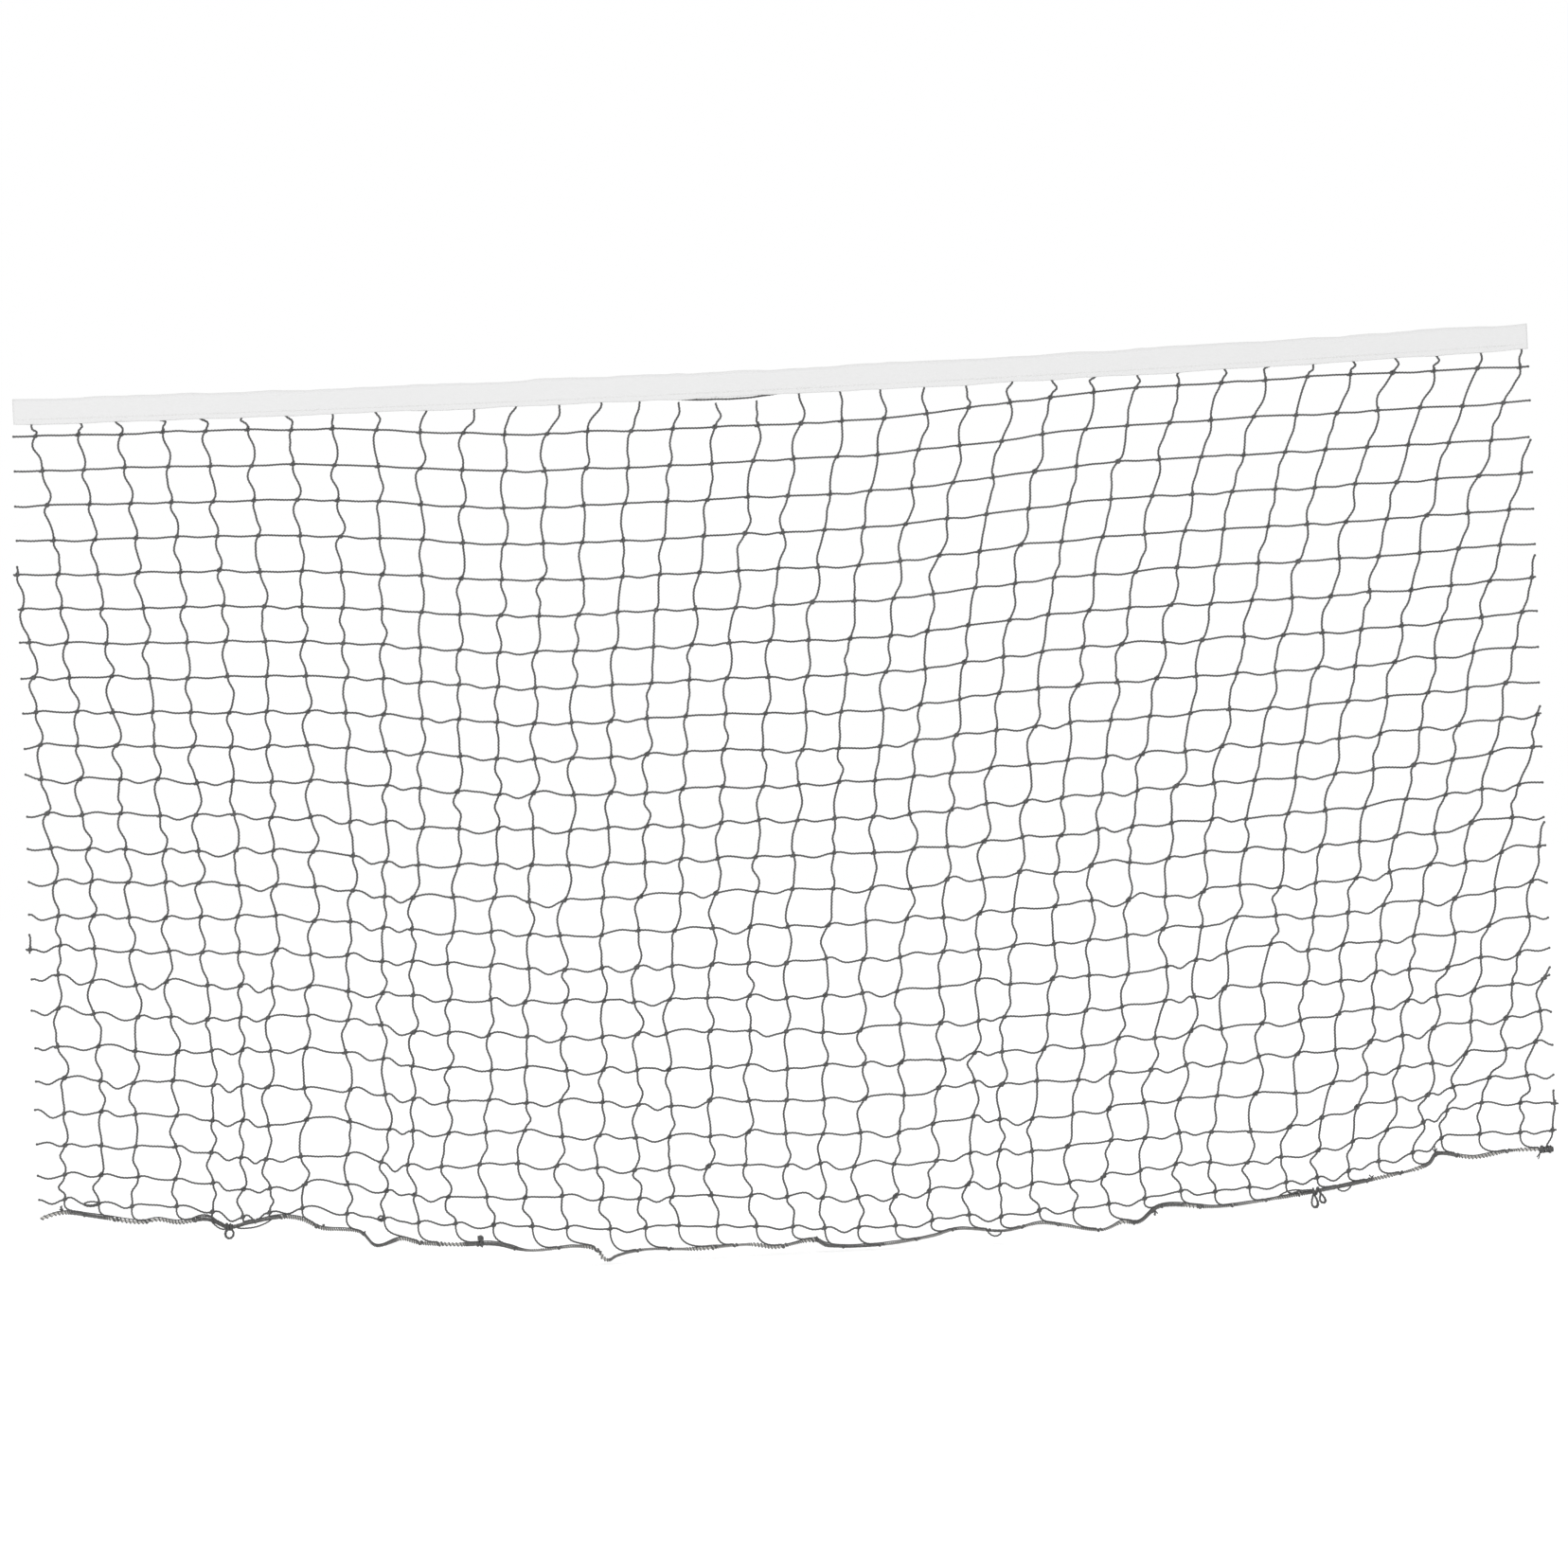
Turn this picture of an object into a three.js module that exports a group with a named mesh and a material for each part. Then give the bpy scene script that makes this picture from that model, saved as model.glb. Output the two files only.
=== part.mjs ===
// A section of a tennis net, 1.58 m long and 0.91 m high, in millimetres.
// +X runs along the headline, +Y is the net's far side, +Z is up.
// The origin is on the axis of the headline cable, at the middle of the section,
// which is where the section hangs from.
// The netting is soft, so it is held here as three thin panels that hinge on each other.

import * as THREE from 'three';

// Driving dimensions
const sectionLength = 1580;
const headlineSag = 8;
const cableRadius = 2.5;

const tapeThickness = 1;
const tapeCrownRadius = 4;          // outer radius where the tape folds over the cable
const tapeDrop = 23;                // from the cable's axis down to the tape's lower edge
const tapeMouthHalfWidth = 2.7;     // half the outer width at the lower edge
const stitchDrop = 18;
const stitchThread = 0.5;

const twineRadius = 1.2;
const selvedgeDrop = 20.5;
const panelThickness = 1.5;
const panelHinges = [-24, -312, -600];   // heights that the netting swings and folds about
const hingeGap = 1.2;
const cutLean = 0.0159;             // how far the two cut sides lean, as a slope
const cutOffset = 6.7;              // how far the section's middle is from X = 0 at the headline

const ropeRadius = 1.5;
const lacingInner = 1.9;
const lacingOuter = 2.6;
const knotRadius = 4.2;
const knotLength = 8;
const loopTwine = 1.3;
const loopStretch = 1.35;           // how much longer than wide a hanging loop is
const touching = 0.4;               // the gap kept between pieces that touch

// The bottom rope's own route from the left cut to the right cut. It hangs slack on the net.
const bottomRopeRoute = [
  [-797, 2, -843], [-774, 3, -838], [-733, 6, -845], [-694, 6, -852], [-674, 5, -850],
  [-654, 3, -854], [-622, -2, -852], [-601, -5, -861], [-578, -8, -857], [-543, -10, -853],
  [-523, -8, -857], [-504, -5, -867], [-464, 3, -874], [-449, 7, -889], [-422, 10, -883],
  [-405, 11, -888], [-361, 8, -892], [-325, 5, -893], [-291, -1, -901], [-240, -8, -899],
  [-224, -9, -901], [-216, -10, -906], [-213, -10, -912], [-207, -10, -915], [-199, -10, -911],
  [-170, -8, -906], [-116, -5, -908], [-57, 4, -907], [-33, 6, -911], [9, 10, -906],
  [21, 10, -912], [76, 7, -914], [132, 2, -907], [157, -1, -901], [207, -6, -905],
  [244, -9, -899], [308, -9, -909], [330, -7, -902], [346, -6, -903], [369, -4, -888],
  [430, 3, -892], [495, 8, -886], [534, 10, -881], [590, 7, -872], [651, 0, -858],
  [660, -1, -848], [698, -6, -853], [739, -7, -848], [781, -2, -849],
];
const ropeSteps = 80;
// Where along the rope its lacing twine is knotted off, as shares of the rope's length
const lacingKnots = { left: 0.1235, middle: 0.292, right: 0.8429, end: 0.9957 };

// Materials
const material = (color, roughness, metalness = 0) =>
  new THREE.MeshStandardMaterial({ color, roughness, metalness });
const coatedSteel = material(0x8c8f92, 0.4, 0.9);
const whiteTape = material(0xececec, 0.55);
const whiteThread = material(0xe4e4e2, 0.8);
const darkTwine = material(0x4d4d4f, 0.85);
const whiteRope = material(0xd5d3cc, 0.85);

const net = new THREE.Group();

function addPiece(name, geometry, itsMaterial, parent = net) {
  const mesh = new THREE.Mesh(geometry, itsMaterial);
  mesh.name = name;
  parent.add(mesh);
  return mesh;
}

// Heights and sides of the section
const sagBend = headlineSag / (sectionLength / 2) ** 2;
const headlineZ = (x) => sagBend * x * x;
const sideX = (sign, z) => sign * sectionLength / 2 + cutOffset + cutLean * z;

/** The headline between the two cuts, lowered by a fixed drop. */
function headlineRoute() {
  const [left, right] = [sideX(-1, headlineSag), sideX(1, headlineSag)];
  return new THREE.QuadraticBezierCurve3(
    new THREE.Vector3(left, 0, headlineZ(left)),
    new THREE.Vector3((left + right) / 2, 0, sagBend * left * right),
    new THREE.Vector3(right, 0, headlineZ(right)),
  );
}

/** A route made of straight steps between stations, one step for each equal share of its parameter. */
class StationRoute extends THREE.Curve {
  constructor(stations) {
    super();
    this.stations = stations;
  }
  getUtoTmapping(u) {
    return u;
  }
  getPoint(t, target = new THREE.Vector3()) {
    const steps = this.stations.length - 1;
    const at = THREE.MathUtils.clamp(t, 0, 1) * steps;
    const index = Math.min(Math.floor(at), steps - 1);
    return target.lerpVectors(this.stations[index], this.stations[index + 1], at - index);
  }
}

/** A regular polygon that stands for a round section. */
function polygon(radius, sides, PathClass = THREE.Shape) {
  const points = Array.from({ length: sides }, (_, i) => {
    const angle = 2 * Math.PI * (i + 0.5) / sides;
    return new THREE.Vector2(radius * Math.cos(angle), radius * Math.sin(angle));
  });
  return new PathClass(points);
}

function ringSection(outer, inner, sides) {
  const section = polygon(outer, sides);
  section.holes.push(polygon(inner, sides, THREE.Path));
  return section;
}

const sweep = (section, extrudePath, steps, curveSegments = 8) =>
  new THREE.ExtrudeGeometry(section, { steps, extrudePath, bevelEnabled: false, curveSegments });

// Along the headline a section's x runs to the near side and its y runs down.

/** The headband's section: tape folded over the cable, with both flaps hanging down from the crown. */
function tapeSection() {
  const inner = tapeCrownRadius - tapeThickness;
  const mouthInner = tapeMouthHalfWidth - tapeThickness;
  const section = new THREE.Shape();
  section.moveTo(tapeMouthHalfWidth, tapeDrop);
  section.lineTo(mouthInner, tapeDrop);
  section.lineTo(inner, 0);
  section.absarc(0, 0, inner, 0, -Math.PI, true);
  section.lineTo(-mouthInner, tapeDrop);
  section.lineTo(-tapeMouthHalfWidth, tapeDrop);
  section.lineTo(-tapeCrownRadius, 0);
  section.absarc(0, 0, tapeCrownRadius, Math.PI, 2 * Math.PI, false);
  section.closePath();
  return section;
}

/** One side's stitching, a thread that lies on the outer face of a flap. */
function stitchSection(side) {
  const faceSlope = (tapeCrownRadius - tapeMouthHalfWidth) / tapeDrop;
  const face = tapeCrownRadius - faceSlope * stitchDrop + touching;
  const corners = [
    [face, stitchDrop], [face + stitchThread, stitchDrop],
    [face + stitchThread, stitchDrop + stitchThread], [face, stitchDrop + stitchThread],
  ];
  return new THREE.Shape(corners.map(([x, y]) => new THREE.Vector2(side * x, y)));
}

function selvedgeSection() {
  const section = polygon(twineRadius, 8);
  const points = section.getPoints().map((p) => new THREE.Vector2(p.x, p.y + selvedgeDrop));
  return new THREE.Shape(points);
}

function addHeadline() {
  const route = headlineRoute();
  addPiece('headline_cable', sweep(polygon(cableRadius, 12), route, 32), coatedSteel);
  addPiece('headband_tape', sweep(tapeSection(), route, 32), whiteTape);
  addPiece('stitch_thread_front', sweep(stitchSection(1), route, 32), whiteThread);
  addPiece('stitch_thread_back', sweep(stitchSection(-1), route, 32), whiteThread);
  addPiece('selvedge_twine', sweep(selvedgeSection(), route, 32), darkTwine);
}

/** A flat panel from its outline in X and Z, half its thickness each side of Y = 0. */
function addPanel(name, outline) {
  const shape = new THREE.Shape(outline.map(([x, z]) => new THREE.Vector2(x, z)));
  const geometry = new THREE.ExtrudeGeometry(shape, { depth: panelThickness, bevelEnabled: false });
  const panel = addPiece(name, geometry, darkTwine);
  panel.rotation.x = Math.PI / 2;
  panel.position.y = panelThickness / 2;
}

function addNetting(ropeStations) {
  const below = (z) => z - hingeGap / 2;
  const above = (z) => z + hingeGap / 2;
  const [swingZ, upperFoldZ, lowerFoldZ] = panelHinges;

  // The top edge follows the sagging headband, just under its flaps.
  const topEdge = [];
  for (let step = 0; step <= 16; step += 1) {
    const x = THREE.MathUtils.lerp(sideX(1, swingZ), sideX(-1, swingZ), step / 16);
    topEdge.push([x, below(swingZ) + headlineZ(x)]);
  }
  const straightEdge = (z, sign) => [[sideX(sign, z), z], [sideX(-sign, z), z]];
  addPanel('net_upper', [...straightEdge(above(upperFoldZ), -1), ...topEdge]);
  addPanel('net_middle', [
    ...straightEdge(above(lowerFoldZ), -1),
    ...straightEdge(below(upperFoldZ), 1),
  ]);

  // The bottom edge follows the rope, just over its knots.
  const rise = knotRadius + 2 * touching;
  const bottomEdge = ropeStations.map((p) => [p.x, p.z + rise]);
  addPanel('net_lower', [...bottomEdge, ...straightEdge(below(lowerFoldZ), 1)]);
}

/** The stations between two lengths along the rope, with both ends added. */
function stretchOfRope(stations, from, to) {
  const stretch = [];
  let along = 0;
  for (let i = 1; i < stations.length; i += 1) {
    const [a, b] = [stations[i - 1], stations[i]];
    const step = a.distanceTo(b);
    for (const end of [from, to]) {
      if (end >= along && end < along + step) {
        stretch.push(new THREE.Vector3().lerpVectors(a, b, (end - along) / step));
      }
    }
    along += step;
    if (along > from && along < to) {
      stretch.push(b.clone());
    }
  }
  return stretch;
}

function addRopeSleeve(name, stations, from, to, outer, itsMaterial) {
  const stretch = stretchOfRope(stations, from, to);
  const route = new StationRoute(stretch);
  addPiece(name, sweep(ringSection(outer, lacingInner, 8), route, stretch.length - 1), itsMaterial);
  return stretch[0].clone().add(stretch[stretch.length - 1]).multiplyScalar(0.5);
}

function addHangingLoop(name, knotPlace, sideways, radius) {
  const geometry = new THREE.TorusGeometry(radius, loopTwine, 8, 20).scale(1, loopStretch, 1);
  const loop = addPiece(name, geometry, darkTwine);
  const drop = knotRadius + 3 * touching + (radius + loopTwine) * loopStretch;
  loop.position.set(knotPlace.x + sideways, knotPlace.y, knotPlace.z - drop);
  loop.rotation.x = Math.PI / 2;
}

function addBottomRope(stations) {
  addPiece('bottom_rope', sweep(polygon(ropeRadius, 8), new StationRoute(stations), ropeSteps), whiteRope);
  let ropeLength = 0;
  for (let i = 1; i < stations.length; i += 1) {
    ropeLength += stations[i - 1].distanceTo(stations[i]);
  }

  const places = {};
  let lacingStart = 1;
  for (const [name, share] of Object.entries(lacingKnots)) {
    const [from, to] = [share * ropeLength - knotLength / 2, share * ropeLength + knotLength / 2];
    const lacingEnd = from - touching;
    addRopeSleeve(`lacing_to_${name}_knot`, stations, lacingStart, lacingEnd, lacingOuter, darkTwine);
    places[name] = addRopeSleeve(`lacing_knot_${name}`, stations, from, to, knotRadius, darkTwine);
    lacingStart = to + touching;
  }
  addHangingLoop('ring_loop', places.left, 0, 3.6);
  addHangingLoop('tie_loop_left', places.right, -5.2, 3.8);
  addHangingLoop('tie_loop_right', places.right, 5.2, 3);
}

const ropeCurve = new THREE.CatmullRomCurve3(
  bottomRopeRoute.map(([x, y, z]) => new THREE.Vector3(x, y, z)), false, 'centripetal',
);
const ropeStations = ropeCurve.getSpacedPoints(ropeSteps);

addHeadline();
addNetting(ropeStations);
addBottomRope(ropeStations);

export default net;
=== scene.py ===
"""The looks of a hanging section of tennis net: knotted twine netting, a folded headband over its
cable, and a laced rope along the bottom. Metres, +X along the headline, +Y away from the viewer, +Z up."""

import math

import bpy
import numpy as np
from mathutils import Matrix, Vector


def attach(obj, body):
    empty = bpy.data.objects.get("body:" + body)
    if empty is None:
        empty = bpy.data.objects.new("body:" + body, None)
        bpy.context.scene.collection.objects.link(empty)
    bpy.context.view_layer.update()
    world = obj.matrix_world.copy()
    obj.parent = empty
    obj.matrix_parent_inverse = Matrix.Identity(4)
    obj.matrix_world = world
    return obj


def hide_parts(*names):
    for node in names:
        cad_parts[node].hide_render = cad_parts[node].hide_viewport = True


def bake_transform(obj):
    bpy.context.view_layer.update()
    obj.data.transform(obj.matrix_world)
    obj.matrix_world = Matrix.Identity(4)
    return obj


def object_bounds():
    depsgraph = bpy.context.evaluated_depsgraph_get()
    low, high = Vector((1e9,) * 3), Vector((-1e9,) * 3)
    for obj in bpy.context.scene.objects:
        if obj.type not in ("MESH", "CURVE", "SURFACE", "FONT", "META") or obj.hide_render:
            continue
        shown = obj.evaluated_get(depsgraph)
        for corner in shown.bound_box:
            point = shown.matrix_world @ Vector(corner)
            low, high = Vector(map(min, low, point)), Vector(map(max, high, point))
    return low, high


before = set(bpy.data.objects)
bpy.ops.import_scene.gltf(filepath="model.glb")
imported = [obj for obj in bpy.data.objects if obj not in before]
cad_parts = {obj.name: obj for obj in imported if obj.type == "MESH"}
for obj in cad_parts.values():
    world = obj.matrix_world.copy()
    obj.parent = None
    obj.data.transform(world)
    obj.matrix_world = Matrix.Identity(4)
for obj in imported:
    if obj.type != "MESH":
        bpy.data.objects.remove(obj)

CAD_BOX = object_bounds()
MM = 0.001
RIGHT, FAR, UP = np.eye(3)
rng = np.random.default_rng(45)

# The section, repeated from the CAD model
SECTION_LENGTH = 1.580
HEADLINE_SAG = 0.008
SIDE_OFFSET = 0.0067         # how far the section's middle is from X = 0 at the headline
SIDE_LEAN = 0.0159           # the cut sides' slope
TAPE_CROWN_RADIUS = 0.004
TAPE_THICKNESS = 0.001
TAPE_DROP = 0.023            # from the cable's axis to the tape's lower edge
TAPE_MOUTH = 0.0027          # half the band's thickness at its lower edge
STITCH_DROP = 0.018
FLAP_POINTS = 16             # how many points each flap's section has
ROPE_RADIUS = 0.0015
ROPE_STEPS = 1600
LACING_TWINE = 0.00055       # the lacing's own radius
KNOT_SHARES = {"left": 0.1235, "middle": 0.292, "right": 0.8429, "end": 0.9957}
ROPE_ROUTE_MM = [
    (-797, 2, -843), (-774, 3, -838), (-733, 6, -845), (-694, 6, -852), (-674, 5, -850),
    (-654, 3, -854), (-622, -2, -852), (-601, -5, -861), (-578, -8, -857), (-543, -10, -853),
    (-523, -8, -857), (-504, -5, -867), (-464, 3, -874), (-449, 7, -889), (-422, 10, -883),
    (-405, 11, -888), (-361, 8, -892), (-325, 5, -893), (-291, -1, -901), (-240, -8, -899),
    (-224, -9, -901), (-216, -10, -906), (-213, -10, -912), (-207, -10, -915), (-199, -10, -911),
    (-170, -8, -906), (-116, -5, -908), (-57, 4, -907), (-33, 6, -911), (9, 10, -906),
    (21, 10, -912), (76, 7, -914), (132, 2, -907), (157, -1, -901), (207, -6, -905),
    (244, -9, -899), (308, -9, -909), (330, -7, -902), (346, -6, -903), (369, -4, -888),
    (430, 3, -892), (495, 8, -886), (534, 10, -881), (590, 7, -872), (651, 0, -858),
    (660, -1, -848), (698, -6, -853), (739, -7, -848), (781, -2, -849),
]

# The netting
ROWS = 24                    # rows of knots below the selvedge, which is row 0
COLUMNS = np.arange(-26, 27)
TWINE_RADIUS = 0.00114
LEVEL_RADIUS = TWINE_RADIUS * 0.93   # of the level sides, which look a little thinner
TWINE_LAY = 0.0098           # one turn of the twine's three strands
ARM = 0.0038                 # how far from its knot's middle a mesh side begins
EDGE_REACH = 0.0012          # how far past the cut sides a knot or twine may stand
LEVEL_SIDE = 0.0365          # the twine in a level mesh side between its knots' arms
HANGING_SIDE = 0.0315        # and in a hanging one

# Textures run along each tube or tape as U and round or across it as V, in these units
TUBE_UNIT = 0.010            # metres of a tube to one of its U. V is 0 to 1 round it
TAPE_UNIT = 0.020            # metres of tape to one of its U
TAPE_ACROSS = 3.0            # V over the tape's whole width, hem to hem

# Where the netting turns from one body to the next, round the heights of the CAD's hinges
TURNS = (
    ("headline", "netting_upper", -0.023, -0.050),
    ("netting_upper", "netting_middle", -0.252, -0.372),
    ("netting_middle", "netting_lower", -0.540, -0.660),
)


# ---------------------------------------------------------------- shapes by numpy

def smooth_step(value):
    value = np.clip(value, 0, 1)
    return value * value * (3 - 2 * value)


def unit(vectors):
    return vectors / np.maximum(np.linalg.norm(vectors, axis=-1, keepdims=True), 1e-12)


def xyz(x, y, z):
    """Points from their coordinates, any of which may be a single number."""
    return np.stack(np.broadcast_arrays(x, y, z), axis=-1)


def way_round(angle, side, other):
    """The directions at some angles from side towards other."""
    return np.cos(angle)[..., None] * side + np.sin(angle)[..., None] * other


def smooth_noise(shape, passes):
    """Gaussian-like noise with unit spread, smoother the more passes there are."""
    noise = rng.standard_normal(shape)
    for _ in range(passes):
        for axis in range(noise.ndim):
            ahead, behind = np.roll(noise, 1, axis), np.roll(noise, -1, axis)
            noise = 0.5 * noise + 0.25 * (ahead + behind)
    return noise / noise.std()


def bezier(a, b, c, d, steps):
    """Cubic curves: four arrays of points in, and an array of curves of steps + 1 points out."""
    t = np.linspace(0, 1, steps + 1)[None, :, None]
    a, b, c, d = (p[:, None, :] for p in (a, b, c, d))
    return (1 - t) ** 3 * a + 3 * (1 - t) ** 2 * t * b + 3 * (1 - t) * t * t * c + t ** 3 * d


def through(points, steps):
    """Smooth curves through control points (curves, points, 3), with so many steps between two."""
    first = 2 * points[:, :1] - points[:, 1:2]
    last = 2 * points[:, -1:] - points[:, -2:-1]
    p = np.concatenate([first, points, last], axis=1)
    t = (np.arange(steps) / steps)[None, None, :, None]
    p0, p1, p2, p3 = (p[:, k:p.shape[1] - 3 + k, None, :] for k in range(4))
    curve = 0.5 * (
        2 * p1 + (p2 - p0) * t + (2 * p0 - 5 * p1 + 4 * p2 - p3) * t ** 2
        + (3 * p1 - p0 - 3 * p2 + p3) * t ** 3
    )
    curve = curve.reshape(len(points), -1, 3)
    return np.concatenate([curve, points[:, -1:]], axis=1)


def along(paths):
    """The distance along each path at each of its points."""
    steps = np.linalg.norm(np.diff(paths, axis=1), axis=2)
    return np.concatenate([np.zeros((len(paths), 1)), np.cumsum(steps, axis=1)], axis=1)


def interpolate(at, places, points):
    """Points (n, 3), given at some places along a line, found at other places along it."""
    return np.stack([np.interp(at, places, points[:, k]) for k in range(3)], axis=1)


def frames(paths):
    """Tangents and two side directions that don't spin, along each path."""
    tangent = unit(np.gradient(paths, axis=1))
    side = np.empty_like(tangent)
    start = np.cross(tangent[:, 0], FAR)
    weak = np.linalg.norm(start, axis=1) < 0.1
    start[weak] = np.cross(tangent[weak, 0], RIGHT)
    side[:, 0] = unit(start)
    for k in range(1, paths.shape[1]):
        before = side[:, k - 1]
        side[:, k] = unit(before - (before * tangent[:, k]).sum(1, keepdims=True) * tangent[:, k])
    return tangent, side, np.cross(tangent, side)


class Shape:
    """Closed skins gathered into one mesh: their vertices, faces and texture coordinates."""

    def __init__(self):
        self.points, self.loops, self.sizes, self.uvs, self.count = [], [], [], [], 0

    def add_faces(self, faces, uvs):
        """faces is (faces, corners) into the skins being added, and uvs is a pair for each corner."""
        self.loops.append((faces + self.count).reshape(-1))
        self.sizes.append(np.full(len(faces), faces.shape[1]))
        self.uvs.append(uvs.reshape(-1, 2))

    def add_skins(self, points, uv):
        """Skins of quads with flat ends. points is (skins, rings, around, 3), and uv closes each ring."""
        skins, rings, around, _ = points.shape
        index = np.arange(skins * rings * around).reshape(skins, rings, around)
        closed = np.concatenate([index, index[:, :, :1]], axis=2)
        corners = [(0, 0), (1, 0), (1, 1), (0, 1)]
        faces = [closed[:, i:rings - 1 + i, j:around + j] for i, j in corners]
        uvs = [uv[:, i:rings - 1 + i, j:around + j] for i, j in corners]
        self.add_faces(np.stack(faces, -1).reshape(-1, 4), np.stack(uvs, -2))
        flat = np.zeros((skins, around, 2))
        self.add_faces(index[:, 0], flat)
        self.add_faces(index[:, -1, ::-1], flat)
        self.points.append(points.reshape(-1, 3))
        self.count += points.size // 3

    def add_tubes(self, paths, radius, sides, lobe=0.0, lay=None):
        """Tubes along paths (tubes, points, 3). lobe makes every second side stand out, as strands do."""
        _, side, other = frames(paths)
        distance = along(paths)
        spin = 0 if lay is None else 2 * math.pi * distance / lay
        k = np.arange(sides)
        angle = 2 * math.pi * k / sides + np.reshape(spin, np.shape(spin) + (1,))
        reach = np.broadcast_to(radius, distance.shape)[:, :, None] * (1 + lobe * (1 - 2 * (k % 2)))
        points = paths[:, :, None] + reach[..., None] * way_round(angle, side[:, :, None], other[:, :, None])
        uv = np.empty((*distance.shape, sides + 1, 2))
        uv[..., 0] = distance[:, :, None] / TUBE_UNIT
        uv[..., 1] = np.arange(sides + 1) / sides
        self.add_skins(points, uv)

    def add_twine(self, paths, radius, lobe=0.13):
        self.add_tubes(paths, radius, 6, lobe=lobe, lay=TWINE_LAY)

    def heights(self):
        return np.concatenate([points[:, 2] for points in self.points])

    def make(self, name):
        mesh = bpy.data.meshes.new(name)
        points = np.concatenate(self.points)
        loops = np.concatenate(self.loops)
        sizes = np.concatenate(self.sizes)
        mesh.vertices.add(len(points))
        mesh.vertices.foreach_set("co", points.astype(np.float32).reshape(-1))
        mesh.loops.add(len(loops))
        mesh.loops.foreach_set("vertex_index", loops.astype(np.int32))
        mesh.polygons.add(len(sizes))
        starts = np.concatenate([[0], np.cumsum(sizes)[:-1]])
        mesh.polygons.foreach_set("loop_start", starts.astype(np.int32))
        mesh.polygons.foreach_set("use_smooth", np.ones(len(sizes), bool))
        uv = mesh.uv_layers.new(name="Along")
        uv.data.foreach_set("uv", np.concatenate(self.uvs).astype(np.float32).reshape(-1))
        mesh.update(calc_edges=True)
        mesh.validate()
        piece = bpy.data.objects.new(name, mesh)
        bpy.context.scene.collection.objects.link(piece)
        return piece


# ---------------------------------------------------------------- the section's outline

def headline_z(x):
    return HEADLINE_SAG * (x / (SECTION_LENGTH / 2)) ** 2


def side_x(sign, z):
    return sign * SECTION_LENGTH / 2 + SIDE_OFFSET + SIDE_LEAN * z


def rope_line():
    """The bottom rope's route, smooth and evenly spaced, from the points that the CAD model uses."""
    points = np.array([Vector(p) * MM for p in ROPE_ROUTE_MM])
    gaps = np.sqrt(np.linalg.norm(np.diff(points, axis=0), axis=1))
    times = np.concatenate([[0], np.cumsum(gaps)])
    fine = np.linspace(0, times[-1], 2 * ROPE_STEPS)
    line = np.stack([centripetal(times, points[:, k], fine) for k in range(3)], axis=1)
    distance = along(line[None])[0]
    return interpolate(np.linspace(0, distance[-1], ROPE_STEPS + 1), distance, line)


def centripetal(times, values, fine):
    """A smooth curve through values at uneven times, each stretch a cubic between two values."""
    slopes = np.gradient(values, times)
    k = np.clip(np.searchsorted(times, fine, side="right") - 1, 0, len(times) - 2)
    span = times[k + 1] - times[k]
    t = (fine - times[k]) / span
    return (
        (2 * t ** 3 - 3 * t ** 2 + 1) * values[k] + (t ** 3 - 2 * t ** 2 + t) * span * slopes[k]
        + (3 * t ** 2 - 2 * t ** 3) * values[k + 1] + (t ** 3 - t ** 2) * span * slopes[k + 1]
    )


ROPE = rope_line()
ROPE_DISTANCE = along(ROPE[None])[0]
ROPE_LENGTH = ROPE_DISTANCE[-1]
ROPE_TANGENT, ROPE_SIDE, ROPE_OTHER = (v[0] for v in frames(ROPE[None]))


def rope_at_x(x):
    """The rope's Y and Z under a place along the net."""
    return np.interp(x, ROPE[:, 0], ROPE[:, 1]), np.interp(x, ROPE[:, 0], ROPE[:, 2])


# ---------------------------------------------------------------- the netting's shape

# Folds that run down the hanging netting: the column each is on, its half width in columns, and how
# far it lifts (or, below zero, lowers) the last rows, in millimetres
FOLDS = ((-20.5, 3.0, 6), (-8.5, 6.0, -16), (4.6, 2.6, 10), (14.0, 3.4, -9), (22.0, 2.6, 11))

# Creases where the slack netting has bunched: where each runs, its width and how far it pulls in
CREASES = (
    {"x": -0.572, "top": -0.58, "end": -0.93, "width": 0.072, "pull": 0.011, "depth": 0.009},
    {"x": -0.42, "top": -0.42, "end": -0.90, "width": 0.060, "pull": 0.009, "depth": -0.009},
    {"x": -0.17, "top": -0.50, "end": -0.92, "width": 0.045, "pull": 0.005, "depth": 0.007},
    {"x": 0.20, "top": -0.52, "end": -0.90, "width": 0.050, "pull": 0.006, "depth": -0.008},
    {"x": 0.42, "top": -0.55, "end": -0.76, "width": 0.050, "pull": 0.008, "depth": 0.008},
    {"x": 0.66, "top": -0.62, "end": -0.86, "width": 0.055, "pull": 0.012, "depth": -0.007},
)

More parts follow.
